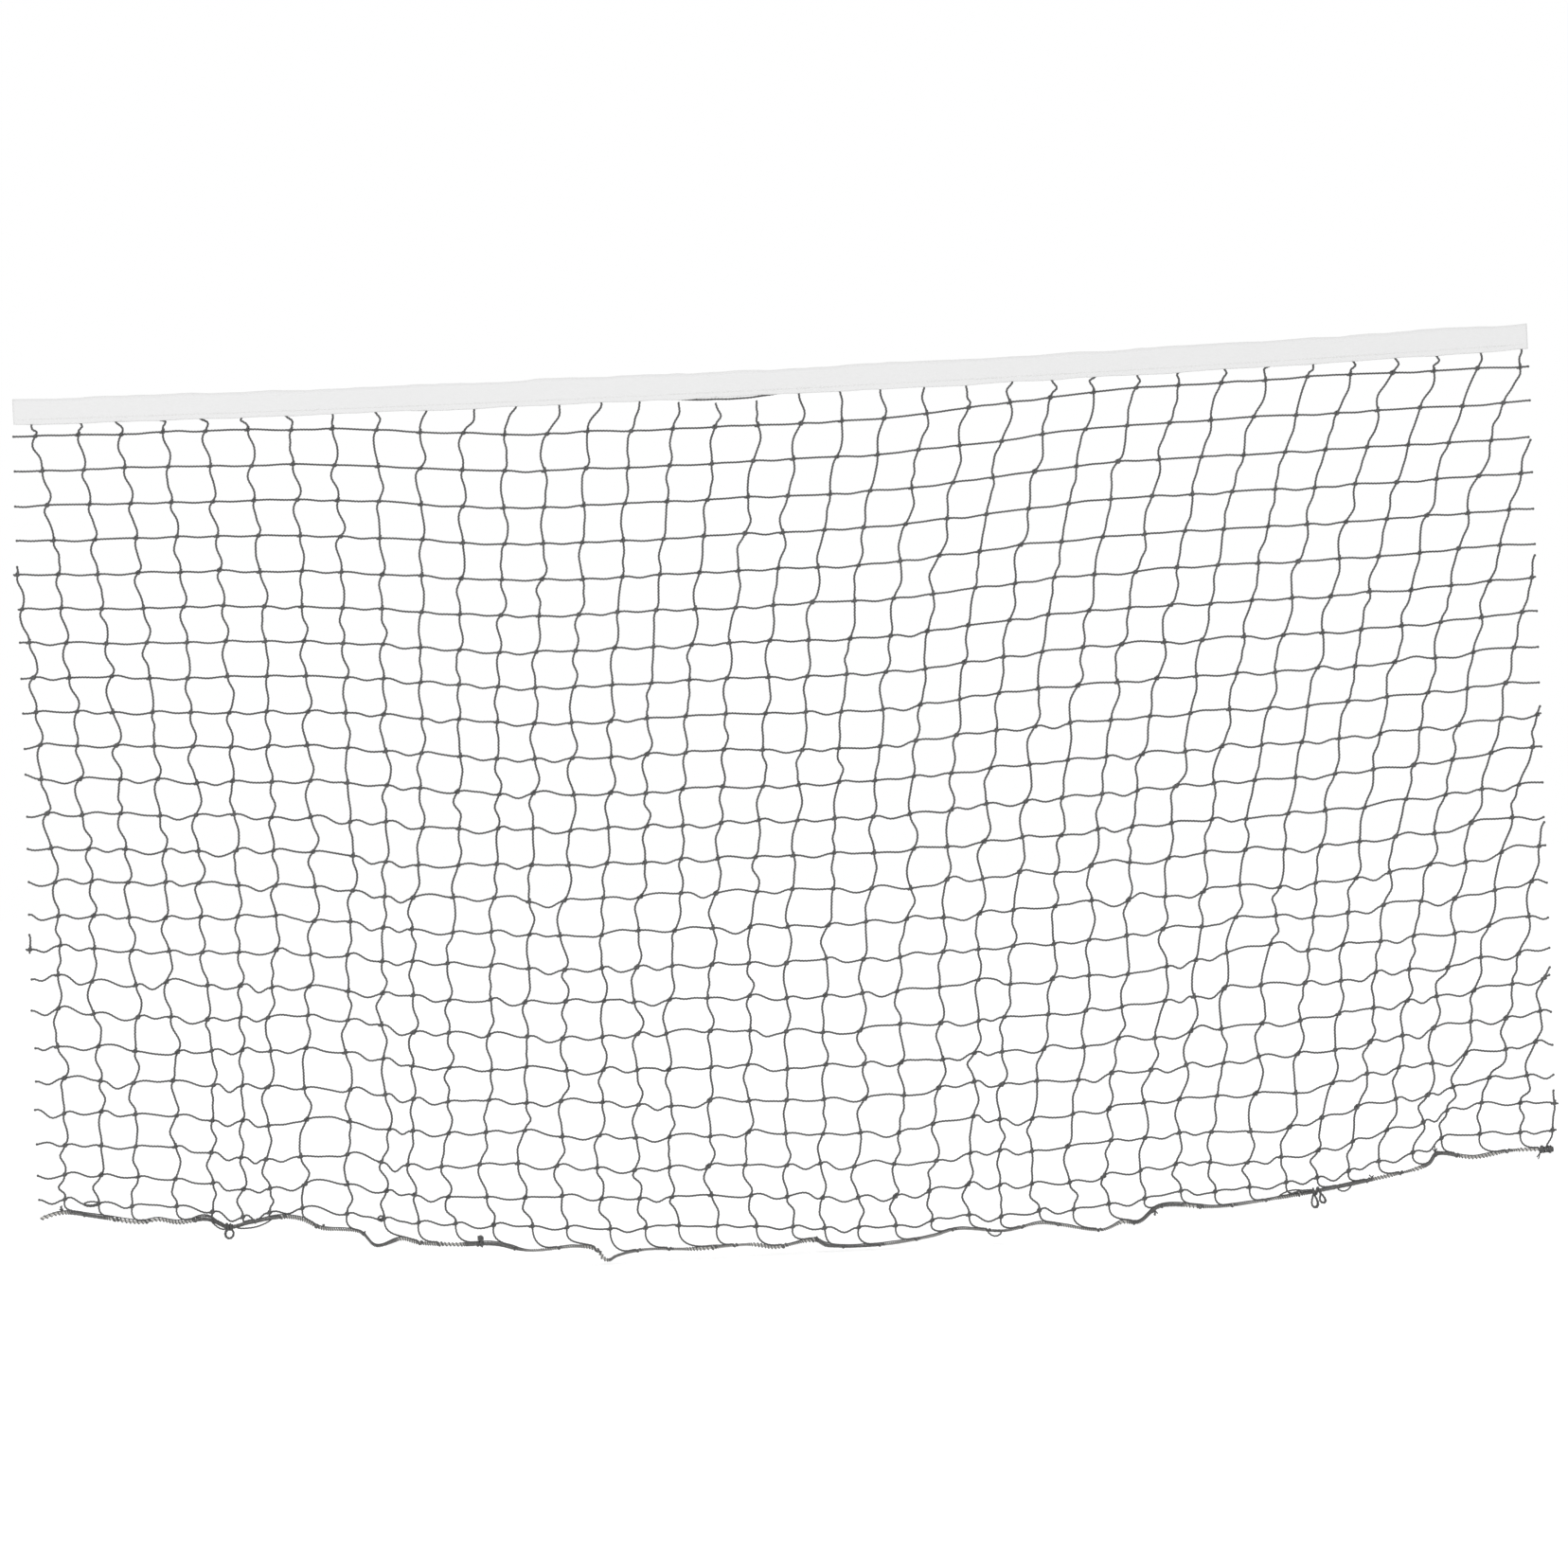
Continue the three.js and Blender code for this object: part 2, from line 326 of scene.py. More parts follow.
# Places where the slack netting is tugged out of line: the column and row, the half widths in columns
# and rows, and how far the knots there shift right and up, in millimetres
TUGS = (
    (-10.5, 13.5, 1.3, 1.3, 0, -9), (-12, 16.5, 1.2, 2.2, -10, 0), (-20, 17, 1.2, 2.4, -9, 7),
    (-13, 18.5, 1.2, 1.2, 0, 9), (-5.5, 15, 1.3, 1.0, -9, 0), (12.5, 17, 1.3, 1.6, 0, 8),
    (14, 20.5, 1.6, 1.8, 9, 0), (5, 20.5, 1.2, 1.2, 0, 10), (19.5, 21, 1.3, 1.0, 12, 0),
    (-8.5, 22, 5.0, 1.0, -10, 0), (19.5, 23.5, 1.3, 1.2, 0, 14), (7.5, 24, 2.0, 0.8, 7, 0),
    (-14.5, 22.5, 1.5, 1.8, 0, -9), (-10, 22, 1.6, 2.2, 0, -9), (-3.5, 20.5, 1.8, 1.8, 0, -8),
    (-2.5, 17, 2.2, 2.0, -6, 0), (2.5, 13.7, 2.0, 1.4, 7, 0), (2.7, 19.7, 1.3, 1.2, 8, 0),
    (17, 20.3, 1.0, 1.8, -8, 0), (14, 22.5, 1.6, 1.4, 0, -8), (6, 22.7, 1.0, 0.9, 0, 8),
    (-1, 24, 2.5, 0.8, 8, 0), (18, 16.3, 1.2, 1.8, 0, -6), (-4.3, 24, 2.0, 0.8, 8, 0),
    (4.6, 24, 1.2, 0.8, 6, 3), (9.4, 24, 1.8, 0.8, 6, 4), (13, 24, 1.7, 0.8, 14, 0),
    (19, 24, 1.0, 0.8, -8, 0), (15.6, 24, 1.6, 0.8, 0, -7), (-15.5, 24, 1.2, 0.8, 0, -6),
)


# The netting before its folds, in millimetres. It draws in and leans to the left as it goes down.
MESH_WIDTH = 38.2            # at the bottom, and how much wider a mesh is in the first row
TOP_EXTRA_WIDTH = 5.8
MIDDLE_COLUMN_X = -40        # at the bottom, and how much further right it is in the first row
TOP_EXTRA_X = 120
MESH_HEIGHT = 36.4           # and how much higher the meshes are near the middle
MIDDLE_EXTRA_HEIGHT = 2.0
SQUEEZE = 0.0325             # the share of its height that the netting loses by the last row
FIRST_ROW_DROP = 12          # from the headband to the first knots, and how much more at the middle
MIDDLE_EXTRA_DROP = 19


def fading(row, rows):
    """1 at the first row, and less for each row under it."""
    return np.exp(-(row - 1) / rows)


def bell(value, middle, half_width, power=2):
    return np.exp(-np.abs((value - middle) / half_width) ** power)


def smooth_lattice(column, row):
    """Where a knot hangs before the creases and the scatter, as X and Z."""
    down = (row - 1) / (ROWS - 1)
    lower = smooth_step((row - 11) / 6)
    mesh_width = MESH_WIDTH + TOP_EXTRA_WIDTH * fading(row, 8)
    x = MIDDLE_COLUMN_X + TOP_EXTRA_X * fading(row, 13) + mesh_width * column
    # The meshes aren't equally wide all along a row.
    x = x + 0.026 * np.sin(math.pi * down) * column ** 2 + (0.0009 - 0.0033 * lower) * column ** 3
    x = x - 22 * smooth_step((row - 15) / 10) * smooth_step((column + 2) / 16)
    x = x + 6 * bell(row, 11, 4) * smooth_step((-4 - column) / 8)
    x = x + 5 * bell(row, 6, 4) * smooth_step(column / 12)
    x = x * MM
    first_row = FIRST_ROW_DROP + MIDDLE_EXTRA_DROP * bell(x, -0.060, 0.330, 4)
    first_row = first_row + 5 * np.clip(x / (SECTION_LENGTH / 2), 0, 1.2) ** 3
    mesh_height = MESH_HEIGHT + MIDDLE_EXTRA_HEIGHT * bell(column, 6, 9)
    squeeze = 1 - SQUEEZE * np.clip(down, 0, 1) ** 3
    z = headline_z(x) - TAPE_DROP - first_row * MM - mesh_height * (row - 1) * squeeze * MM
    for middle_column, half_width, lift in FOLDS:
        z = z + lift * MM * (1 - fading(row, 9)) * bell(column, middle_column, half_width)
    for at_column, at_row, columns, rows, right, up in TUGS:
        near = bell(column, at_column, columns) * bell(row, at_row, rows)
        x = x + right * MM * near
        z = z + up * MM * near
    return x, z


def crease(x, z):
    """How far the creases move a point sideways, and in depth."""
    shift, depth = np.zeros_like(x), np.zeros_like(x)
    for c in CREASES:
        reach = smooth_step((c["top"] - z) / 0.12) * smooth_step((z - c["end"]) / 0.08)
        reach = bell(x, c["x"], c["width"]) * reach
        shift -= c["pull"] * 2 * (x - c["x"]) / c["width"] * reach
        depth += c["depth"] * reach
    return shift, depth


# How low the last rows may come, in millimetres over the rope and then over each other
LAST_ROW_HEIGHT = 12
LEAST_MESH_HEIGHT = 21
SOFTNESS = 0.006             # metres over which a knot slows down


def selvedge_height(x):
    """The selvedge's height over the headband's hem, in millimetres: it slips out for a short way."""
    return 5.0 - 6.9 * bell(x, -0.040, 0.062, 4)


def knot_places():
    """Every knot's place, as an array of rows by columns. Row 0 is the selvedge in the headband."""
    row = np.arange(ROWS + 1)[:, None] * np.ones(len(COLUMNS))
    column = np.ones((ROWS + 1, 1)) * COLUMNS
    x, z = smooth_lattice(column, np.maximum(row, 1))
    slack = smooth_step((row - 3) / 16)
    shape = (ROWS + 1, len(COLUMNS))
    x += MM * (
        smooth_noise(shape, 5) * (0.8 + 0.5 * slack)
        + rng.standard_normal(shape) * (0.7 + 0.9 * slack)
    )
    z += MM * (
        smooth_noise(shape, 4) * (0.5 + 0.4 * slack)
        + rng.standard_normal(shape) * (0.5 + 0.9 * slack)
    )
    y = MM * (smooth_noise(shape, 8) * (0.8 + 4.5 * slack) + smooth_noise(shape, 2) * (0.3 + 1.2 * slack))
    shift, depth = crease(x, z)
    x += shift
    y += depth

    # The last rows come down onto the rope and follow it. No knot sinks under its row's lowest height
    # over the rope: as it nears that height it slows down, as soft twine does.
    rope_y, rope_z = rope_at_x(x)
    near = smooth_step((row - 19) / 5)
    y = y * (1 - 0.75 * near) + rope_y * near
    touching = bell(x, -0.578, 0.048, 4)
    floor_z = rope_z + MM * (LAST_ROW_HEIGHT * (1 - touching) + LEAST_MESH_HEIGHT * (ROWS - row))
    over = (z - floor_z) / SOFTNESS
    soft = np.where(over > 8, over, np.log1p(np.exp(np.clip(over, -30, 8))))
    z = np.where(row >= ROWS - 4, floor_z + soft * SOFTNESS, z)

    # The selvedge stays inside the headband's mouth, and slips out under it for a short way.
    head = headline_z(x[0])
    x[0] = x[1] + MM * rng.normal(0, 1.6, len(COLUMNS))
    x[0] += MM * (16 * bell(x[1], -0.23, 0.17, 4) + 6 * smooth_step((x[1] - 0.1) / 0.4) - 2)
    z[0] = head - TAPE_DROP + MM * selvedge_height(x[0])
    y[0] = 0
    y[1] = y[1] * 0.4
    return xyz(x, y, z)


def turned(angle, spread, shape):
    return np.radians(angle + spread * np.clip(rng.standard_normal(shape), -2, 2))


def strand_directions(knots):
    """The way each knot's level and hanging strands run through it: both lean towards one diagonal,
    more at every second knot, because the knots are tied from alternate sides."""
    rows, columns = knots.shape[:2]
    row = np.arange(rows)[:, None] * np.ones(columns)
    slack = 0.10 + 0.90 * smooth_step((row - 2) / 15)
    chord = unit(np.gradient(knots, axis=1))
    rise = np.arctan2(chord[..., 2], chord[..., 0])
    crossed = (row + COLUMNS) % 2 == 0
    level_lean = np.where(crossed, turned(15, 7, row.shape), turned(8, 9, row.shape))
    level_tilt = rise + slack * (level_lean - 0.3 * rise)
    hang_tilt = np.where(crossed, turned(26, 8, row.shape), turned(4, 10, row.shape))
    hang_tilt[0] = hang_tilt[1] * 0.4 + turned(0, 9, columns)
    hang_tilt[ROWS] *= 0.3
    level = xyz(np.cos(level_tilt), rng.normal(0, 0.10, row.shape), np.sin(level_tilt))
    hang = xyz(-np.sin(hang_tilt), rng.normal(0, 0.14, row.shape), -np.cos(hang_tilt))
    return unit(level), unit(hang)


def swerve(paths, bow, wave):
    """Bends paths sideways and in depth: bow is once along their length, and wave twice."""
    n, points, _ = paths.shape
    t = np.linspace(0, 1, points)[None, :, None]
    chord = unit(paths[:, -1] - paths[:, 0])
    side = unit(np.cross(chord, FAR))[:, None]
    once, twice = np.sin(math.pi * t) ** 2, np.sin(2 * math.pi * t) * np.sin(math.pi * t)
    size = rng.standard_normal((4, n, 1, 1))
    paths = paths + side * (size[0] * bow * once + size[1] * wave * twice)
    return paths + FAR * (size[2] * bow * once + size[3] * wave * twice)


def bow_out(paths, own_length, fall):
    """Bows slack twine out the way it already bends, and down by its weight, towards its own length."""
    chord = np.linalg.norm(paths[:, -1] - paths[:, 0], axis=1)
    spare = np.clip(own_length - along(paths)[:, -1], 0, own_length / 2)
    way = unit(paths.mean(axis=1) - (paths[:, 0] + paths[:, -1]) / 2 + [0, 0, -fall])
    share = 0.12 + 0.28 * np.clip(spare / (8 * MM), 0, 1)
    bow = share * 2 / math.pi * np.sqrt(chord * spare)
    t = np.linspace(0, 1, paths.shape[1])[None, :, None]
    return paths + (way * bow[:, None])[:, None] * np.sin(math.pi * t) ** 2


def inside(points):
    """Which points are between the two cut sides."""
    x, z = points[..., 0], points[..., 2]
    return (x > side_x(-1, z) - EDGE_REACH) & (x < side_x(1, z) + EDGE_REACH)


def cut_at_sides(paths, first_kept, last_kept):
    """The paths between two kept knots whole, and those from one kept knot as far as the cut side.
    Also gives the place and direction of each cut end."""
    within = inside(paths)
    kept, cuts = [], []
    for path, ok, first, last in zip(paths, within, first_kept, last_kept):
        if first and last:
            kept.append(path)
            continue
        if not (first or last):
            continue
        order, run = (path, ok) if first else (path[::-1], ok[::-1])
        out = len(run) if run.all() else int(np.argmin(run))
        if out < 4:
            continue
        t = np.linspace(0, out - 1, len(path))
        new = interpolate(t, np.arange(out), order[:out])
        cuts.append((new[-1], unit(new[-1] - new[-3])))
        kept.append(new if first else new[::-1])
    return np.array(kept).reshape(-1, *paths.shape[1:]), cuts


# One sheet-bend knot in its own directions, in millimetres: towards the bight's two arms, across
# them, and in depth. The bight joins the left and upper arms, and the wrap joins the right and lower.
BIGHT = [(1.0, -1.4, 0), (-0.6, -1.4, 0), (-1.7, 0, 0), (-0.6, 1.4, 0), (1.0, 1.4, 0)]
WRAP = [
    (-1.3, 0.85, -1.4), (-0.1, -0.05, -0.3), (0.55, -1.0, 1.15), (1.05, -2.2, 1.05),
    (1.3, -2.75, -0.2), (1.3, -1.55, -1.6), (1.3, 0, -1.85), (1.3, 1.55, -1.6),
    (1.3, 2.75, -0.2), (1.05, 2.2, 1.05), (0.35, 0.85, 1.45), (-0.7, -0.8, 1.55),
]


# The strands' points on each arm, as shares of ARM: they reach a little way inside the mesh side.
ARM_POINTS = (1.22, 1.02, 0.62)


def knot_strands(places, level, hang, flip):
    """The two strands of each knot, which reach out along its four arms."""
    left, right, up, down = -level, level, -hang, hang
    towards = unit(left + up)
    depth = FAR * flip[:, None]
    across = unit(up - left)
    depth = unit(depth - (depth * towards).sum(1, keepdims=True) * towards)

    def strand(first, middle, last):
        shape = np.array(middle) * MM
        core = sum(shape[:, k, None] * way[:, None] for k, way in enumerate((towards, across, depth)))
        arm_in = [first[:, None] * ARM * out for out in ARM_POINTS]
        arm_out = [last[:, None] * ARM * out for out in ARM_POINTS[::-1]]
        return places[:, None] + np.concatenate([*arm_in, core, *arm_out], axis=1)

    return through(strand(left, BIGHT, up), 2), through(strand(right, WRAP, down), 2)


# ---------------------------------------------------------------- materials

# Fibres, in a tube's texture units
FIBRE_SLANT = -math.pi / 4
FIBRE_LENGTH = 0.35
FIBRE_WIDTH = 0.030

# A wave texture of scale 1 has 20 / (2 pi) waves to the unit.
WEAVE_PITCH = 0.0010
WEAVE_SCALE = 2 * math.pi / 20 * TAPE_UNIT / WEAVE_PITCH


class Look:
    """A material under construction: its shader, and short ways to add the nodes that feed it."""

    def __init__(self, name, base, roughness, sheen=0.0):
        self.material = bpy.data.materials.new(name)
        self.material.use_nodes = True
        self.tree = self.material.node_tree
        self.inputs = self.tree.nodes["Principled BSDF"].inputs
        self.inputs["Base Color"].default_value = (*base, 1)
        self.inputs["Roughness"].default_value = roughness
        self.inputs["Sheen Weight"].default_value = sheen

    def node(self, kind, links=None, **settings):
        """A new node. links and settings go to its inputs by name or number, or else to the node itself."""
        node = self.tree.nodes.new("ShaderNode" + kind)
        for key, value in settings.items():
            if key.replace("_", " ") in node.inputs:
                node.inputs[key.replace("_", " ")].default_value = value
            else:
                setattr(node, key, value)
        for key, output in (links or {}).items():
            self.tree.links.new(output, node.inputs[key])
        return node

    def feed(self, socket, output):
        self.tree.links.new(output, self.inputs[socket])

    def along_uv(self):
        return self.node("UVMap", uv_map="Along").outputs["UV"]

    def place(self):
        return self.node("TexCoord").outputs["Object"]

    def noise(self, vector, **settings):
        return self.node("TexNoise", {"Vector": vector}, **settings).outputs["Fac"]

    def product(self, first, second):
        return self.node("Math", {0: first, 1: second}, operation="MULTIPLY").outputs[0]

    def between(self, factor, dark, light):
        """A colour from dark to light, as a noise's factor goes over the middle of its range."""
        ramp = self.node("ValToRGB", {"Fac": factor})
        low, high = ramp.color_ramp.elements
        low.color, high.color = (*dark, 1), (*light, 1)
        low.position, high.position = 0.36, 0.64
        return ramp.outputs["Color"]

    def spread(self, value, **limits):
        return self.node("MapRange", {"Value": value}, **limits).outputs["Result"]

    def relief(self, height, strength, depth):
        bump = self.node("Bump", {"Height": height}, Strength=strength, Distance=depth)
        self.feed("Normal", bump.outputs["Normal"])

    def raised(self, main, fine, share):
        """A height made of a main one and a share of a finer one."""
        height = self.node("Math", {0: fine, 2: main}, operation="MULTIPLY_ADD")
        height.inputs[1].default_value = share
        return height.outputs[0]


def fibre_material(name, dark, light, roughness, bump):
    """Twine or rope: fine fibres that run along it, with fuzz and uneven colour. The texture's U is
    along each tube and its V is round it, so fibres aslant in U and V lie straight on laid strands."""
    look = Look(name, light, roughness, sheen=0.15)
    place = look.place()
    aslant = look.node("Mapping", {"Vector": look.along_uv()}, vector_type="TEXTURE")
    aslant.inputs["Rotation"].default_value = (0, 0, FIBRE_SLANT)
    aslant.inputs["Scale"].default_value = (FIBRE_LENGTH, FIBRE_WIDTH, 1)
    strands = look.noise(aslant.outputs["Vector"], Scale=1.0, Detail=3.0)
    fuzz = look.noise(place, Scale=2600.0, Detail=2.0)
    patches = look.noise(place, Scale=38.0, Detail=4.0)
    uneven = look.node("Mix", {"A": strands, "B": patches}, Factor=0.3)
    look.feed("Base Color", look.between(uneven.outputs["Result"], dark, light))
    look.relief(look.raised(strands, fuzz, 0.4), 0.7, bump)
    look.feed("Roughness", look.spread(patches, To_Min=roughness - 0.12, To_Max=roughness + 0.10))
    return look.material


def tape_material():
    """White coated webbing: a fine plain weave, faint grey mottling, painted shade in the weave's gaps, and
    painted shade along the crown.
    """
    look = Look("white_tape", (0.78, 0.78, 0.78), 0.55, sheen=0.1)
    uv, place = look.along_uv(), look.place()

    def threads(direction):
        wave = look.node("TexWave", {"Vector": uv}, Scale=WEAVE_SCALE, bands_direction=direction)
        return wave.outputs["Fac"]

    weave = look.product(threads("X"), threads("Y"))
    mottle = look.noise(place, Scale=22.0, Detail=5.0, Roughness=0.62)
    specks = look.noise(place, Scale=420.0, Detail=2.0)
    look.relief(look.raised(weave, specks, 0.5), 0.8, 0.00012)

    # V runs from one flap's hem over the crown, at half of TAPE_ACROSS, to the other's.
    across = look.node("SeparateXYZ", {0: uv}).outputs["Y"]
    crown = look.spread(across, From_Max=TAPE_ACROSS)
    # Painted shade along the crown: this curve over V rises at the top of the fold, and with the mottling it
    # darkens the colour there in patches.
    curve = look.node("FloatCurve", {"Value": crown})
    points = curve.mapping.curves[0].points
    points[0].location, points[1].location = (0, 0.12), (1, 0.12)
    for at, value in ((0.34, 0.15), (0.5, 0.62), (0.66, 0.15)):
        points.new(at, value)
    curve.mapping.update()
    painted_crown_shade = look.product(curve.outputs["Value"], mottle)
    shade = look.between(painted_crown_shade, (0.745, 0.745, 0.745), (0.65, 0.65, 0.65))
    # Painted shade in the weave's gaps: the colour is made up to 8% darker where the threads dip.
    gaps = look.spread(weave, From_Max=0.5, To_Min=0.92)
    woven = look.node("VectorMath", {0: shade, 1: gaps}, operation="MULTIPLY")
    look.feed("Base Color", woven.outputs["Vector"])
    look.feed("Roughness", look.spread(mottle, To_Min=0.45, To_Max=0.68))
    return look.material


def steel_material():
    """Galvanised wire: dull steel with a patchy bloom."""
    look = Look("cable_steel", (0.42, 0.43, 0.44), 0.4)
    look.inputs["Metallic"].default_value = 0.9
    bloom = look.noise(look.place(), Scale=900.0, Detail=4.0)
    look.feed("Base Color", look.between(bloom, (0.30, 0.31, 0.32), (0.52, 0.53, 0.54)))
    look.relief(bloom, 0.3, 0.00005)
    return look.material


def floor_material():
    look = Look("floor", (0.86, 0.86, 0.86), 0.9)
    look.inputs["Specular IOR Level"].default_value = 0.0
    look.inputs["Emission Color"].default_value = (1, 1, 1, 1)
    look.inputs["Emission Strength"].default_value = 0.22
    return look.material


TWINE = fibre_material("net_twine", (0.036, 0.036, 0.036), (0.146, 0.146, 0.146), 0.72, 0.00025)
THREAD = fibre_material("white_thread", (0.62, 0.62, 0.61), (0.82, 0.82, 0.81), 0.7, 0.0001)
ROPE_FIBRE = fibre_material("white_rope", (0.34, 0.33, 0.31), (0.72, 0.71, 0.68), 0.75, 0.0003)
TAPE = tape_material()
STEEL = steel_material()


def dress(piece, material, slot, *nodes):
    piece.data.materials.append(material)
    if nodes:
        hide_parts(*nodes)
    return piece


# ---------------------------------------------------------------- the headline

def headline_stations(step):
    left, right = side_x(-1, HEADLINE_SAG), side_x(1, HEADLINE_SAG)
    x = np.linspace(left, right, int((right - left) / step) + 1)
    return xyz(x, 0.0, headline_z(x))


def make_cable():
    """Wire rope: six strands round a core, so that its cut ends show strands."""
    line = headline_stations(0.003)
    core, out, strand, lay = 0.0009, 0.0016, 0.00084, 0.034
    shape = Shape()
    shape.add_tubes(line[None], core, 6)
    turn = 2 * math.pi * (line[:, 0] - line[0, 0]) / lay
    for k in range(6):
        path = line + way_round(turn + k * math.pi / 3, FAR, UP) * out
        shape.add_tubes(path[None], strand, 6)
    cable = dress(shape.make("headline_wire_rope"), STEEL, "cable_steel", "headline_cable")
    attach(cable, "headline")


def tape_profile():
    """The folded tape's section, from the near flap's hem over the crown to the far flap's hem, as Y, Z."""
    crown = 12
    down = np.linspace(TAPE_DROP, 0.0012, FLAP_POINTS)
    widen = (down / TAPE_DROP) ** 1.3
    y = TAPE_CROWN_RADIUS + (TAPE_MOUTH - TAPE_CROWN_RADIUS) * widen
    near = np.stack([-y, -down], axis=1)
    angle = np.linspace(math.pi, 0, crown + 2)[1:-1]
    top = np.stack([np.cos(angle), np.sin(angle)], axis=1) * TAPE_CROWN_RADIUS
    far = near[::-1] * [-1, 1]
    return np.concatenate([near, top, far])


def make_tape(stub_x):
    """The headband, with a wavy crown, drawn-in stitching and a pucker where each mesh side enters."""
    line = headline_stations(0.0025)
    profile = tape_profile()
    stations, around = len(line), len(profile)
    down = -profile[:, 1] / TAPE_DROP
    side = np.sign(profile[:, 0])
    flap = np.clip(down, 0, 1)
    normal = unit(np.stack([profile[:, 0] * (1 - 0.9 * flap) + 0.004 * side * flap,
                            np.maximum(profile[:, 1], 0)], axis=1))
    long_waves = smooth_noise((stations, around), 60)
    short_waves = smooth_noise((stations, around), 14)
    drawn = np.exp(-((down * TAPE_DROP - STITCH_DROP) / 0.0009) ** 2)
    hem = smooth_step((down - 0.55) / 0.45)
    near_stub = np.exp(-((line[:, 0, None] - stub_x[None]) / 0.0032) ** 2).sum(1)
    out = MM * (0.30 * long_waves + 0.13 * short_waves)
    out = out - MM * 0.28 * drawn[None] + MM * 0.40 * near_stub[:, None] * hem[None]
    lift = MM * (0.45 * smooth_noise(stations, 90) + 0.18 * smooth_noise(stations, 12))
    hem_lift = MM * (0.35 * smooth_noise(stations, 50) + 0.10 * smooth_noise(stations, 8))
    crown = 1 - hem

    def skin(inset):
        y = profile[None, :, 0] + normal[None, :, 0] * (out - inset)
        z = profile[None, :, 1] + normal[None, :, 1] * (out - inset)
        z = z + lift[:, None] * crown[None] + hem_lift[:, None] * hem[None]
        return xyz(line[:, 0, None], y, z + line[:, 2, None])

    outer, inner = skin(0.0), skin(TAPE_THICKNESS)
    edge = outer[:, [0, -1]] * 0.5 + inner[:, [0, -1]] * 0.5 - [0, 0, 0.00035]
    ring = np.concatenate([outer, edge[:, 1:], inner[:, ::-1], edge[:, :1]], axis=1)[None]
    over = np.linspace(0, TAPE_ACROSS, around)
    across = np.concatenate([over, [TAPE_ACROSS], over[::-1], [0, 0]])
    uv = np.empty((1, stations, ring.shape[2] + 1, 2))
    uv[..., 0] = (line[:, 0] - line[0, 0])[None, :, None] / TAPE_UNIT
    uv[..., 1] = across
    shape = Shape()
    shape.add_skins(ring, uv)
    tape = dress(shape.make("headband"), TAPE, "white_tape", "headband_tape")
    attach(tape, "headline")
    return outer


def make_stitches(tape_skin):
    """Lock stitches that close the flaps: short runs of thread that dip into the tape at both ends."""
    length, pitch, thread = 0.0030, 0.0040, 0.00030
    x = np.arange(side_x(-1, 0) + 0.004, side_x(1, 0) - 0.006, pitch)
    t = np.linspace(0, 1, 7)
    for name, face in (("front", tape_skin[:, :FLAP_POINTS]), ("back", tape_skin[:, -FLAP_POINTS:])):
        height = -(face[..., 2] - headline_z(face[..., 0]))
        at = np.argmin(np.abs(height - STITCH_DROP), axis=1)
        sx, sy = face[np.arange(len(face)), at, :2].T
        px = x[:, None] + length * t[None]
        out = np.sign(sy.mean())
        bulge = thread * (0.9 * np.sin(math.pi * t) ** 0.5 - 0.5)
        py = np.interp(px, sx, sy) + out * bulge[None]
        pz = headline_z(px) - STITCH_DROP + rng.normal(0, 0.00012, (len(x), 1))
        shape = Shape()
        shape.add_tubes(xyz(px, py, pz), thread, 6)
        node = f"stitch_thread_{name}"
        stitches = dress(shape.make(f"stitches_{name}"), THREAD, "white_thread", node)
        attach(stitches, "headline")


# ---------------------------------------------------------------- the netting's pieces

def turn_for(top, bottom):
    """The body that a run of netting rides on, or the turn that it crosses."""
    for a, b, start, end in TURNS:
        if top > end and bottom < start:
            return a, b, start, end
    for a, b, start, end in TURNS[::-1]:
        if top <= end:
            return b, None, None, None
    return "headline", None, None, None


def mesh_sides(a, b, out_a, out_b, grip, bow, wave, own_length, fall):
    """The curved sides between two lots of knots, which leave each knot the way its strands point."""
    start, end = a + out_a * ARM, b - out_b * ARM
    reach = np.linalg.norm(end - start, axis=1, keepdims=True) * grip
    paths = bezier(start, start + out_a * reach, end - out_b * reach, end, 36)
    return bow_out(swerve(paths, bow, wave), own_length, fall)


def add_sealed_ends(shape, cuts):
    """Twine ends sealed with heat at the cut sides, each a small smooth bead."""
    if not cuts:
        return
    places, ways = (np.array(v) for v in zip(*cuts))
    t = np.linspace(-1, 1, 7)
    radius = TWINE_RADIUS * 1.22 * np.sqrt(np.clip(1 - t ** 2, 0.02, 1))
    paths = places[:, None] + ways[:, None] * (t * 0.0014)[None, :, None]
    shape.add_tubes(paths, radius[None], 8)


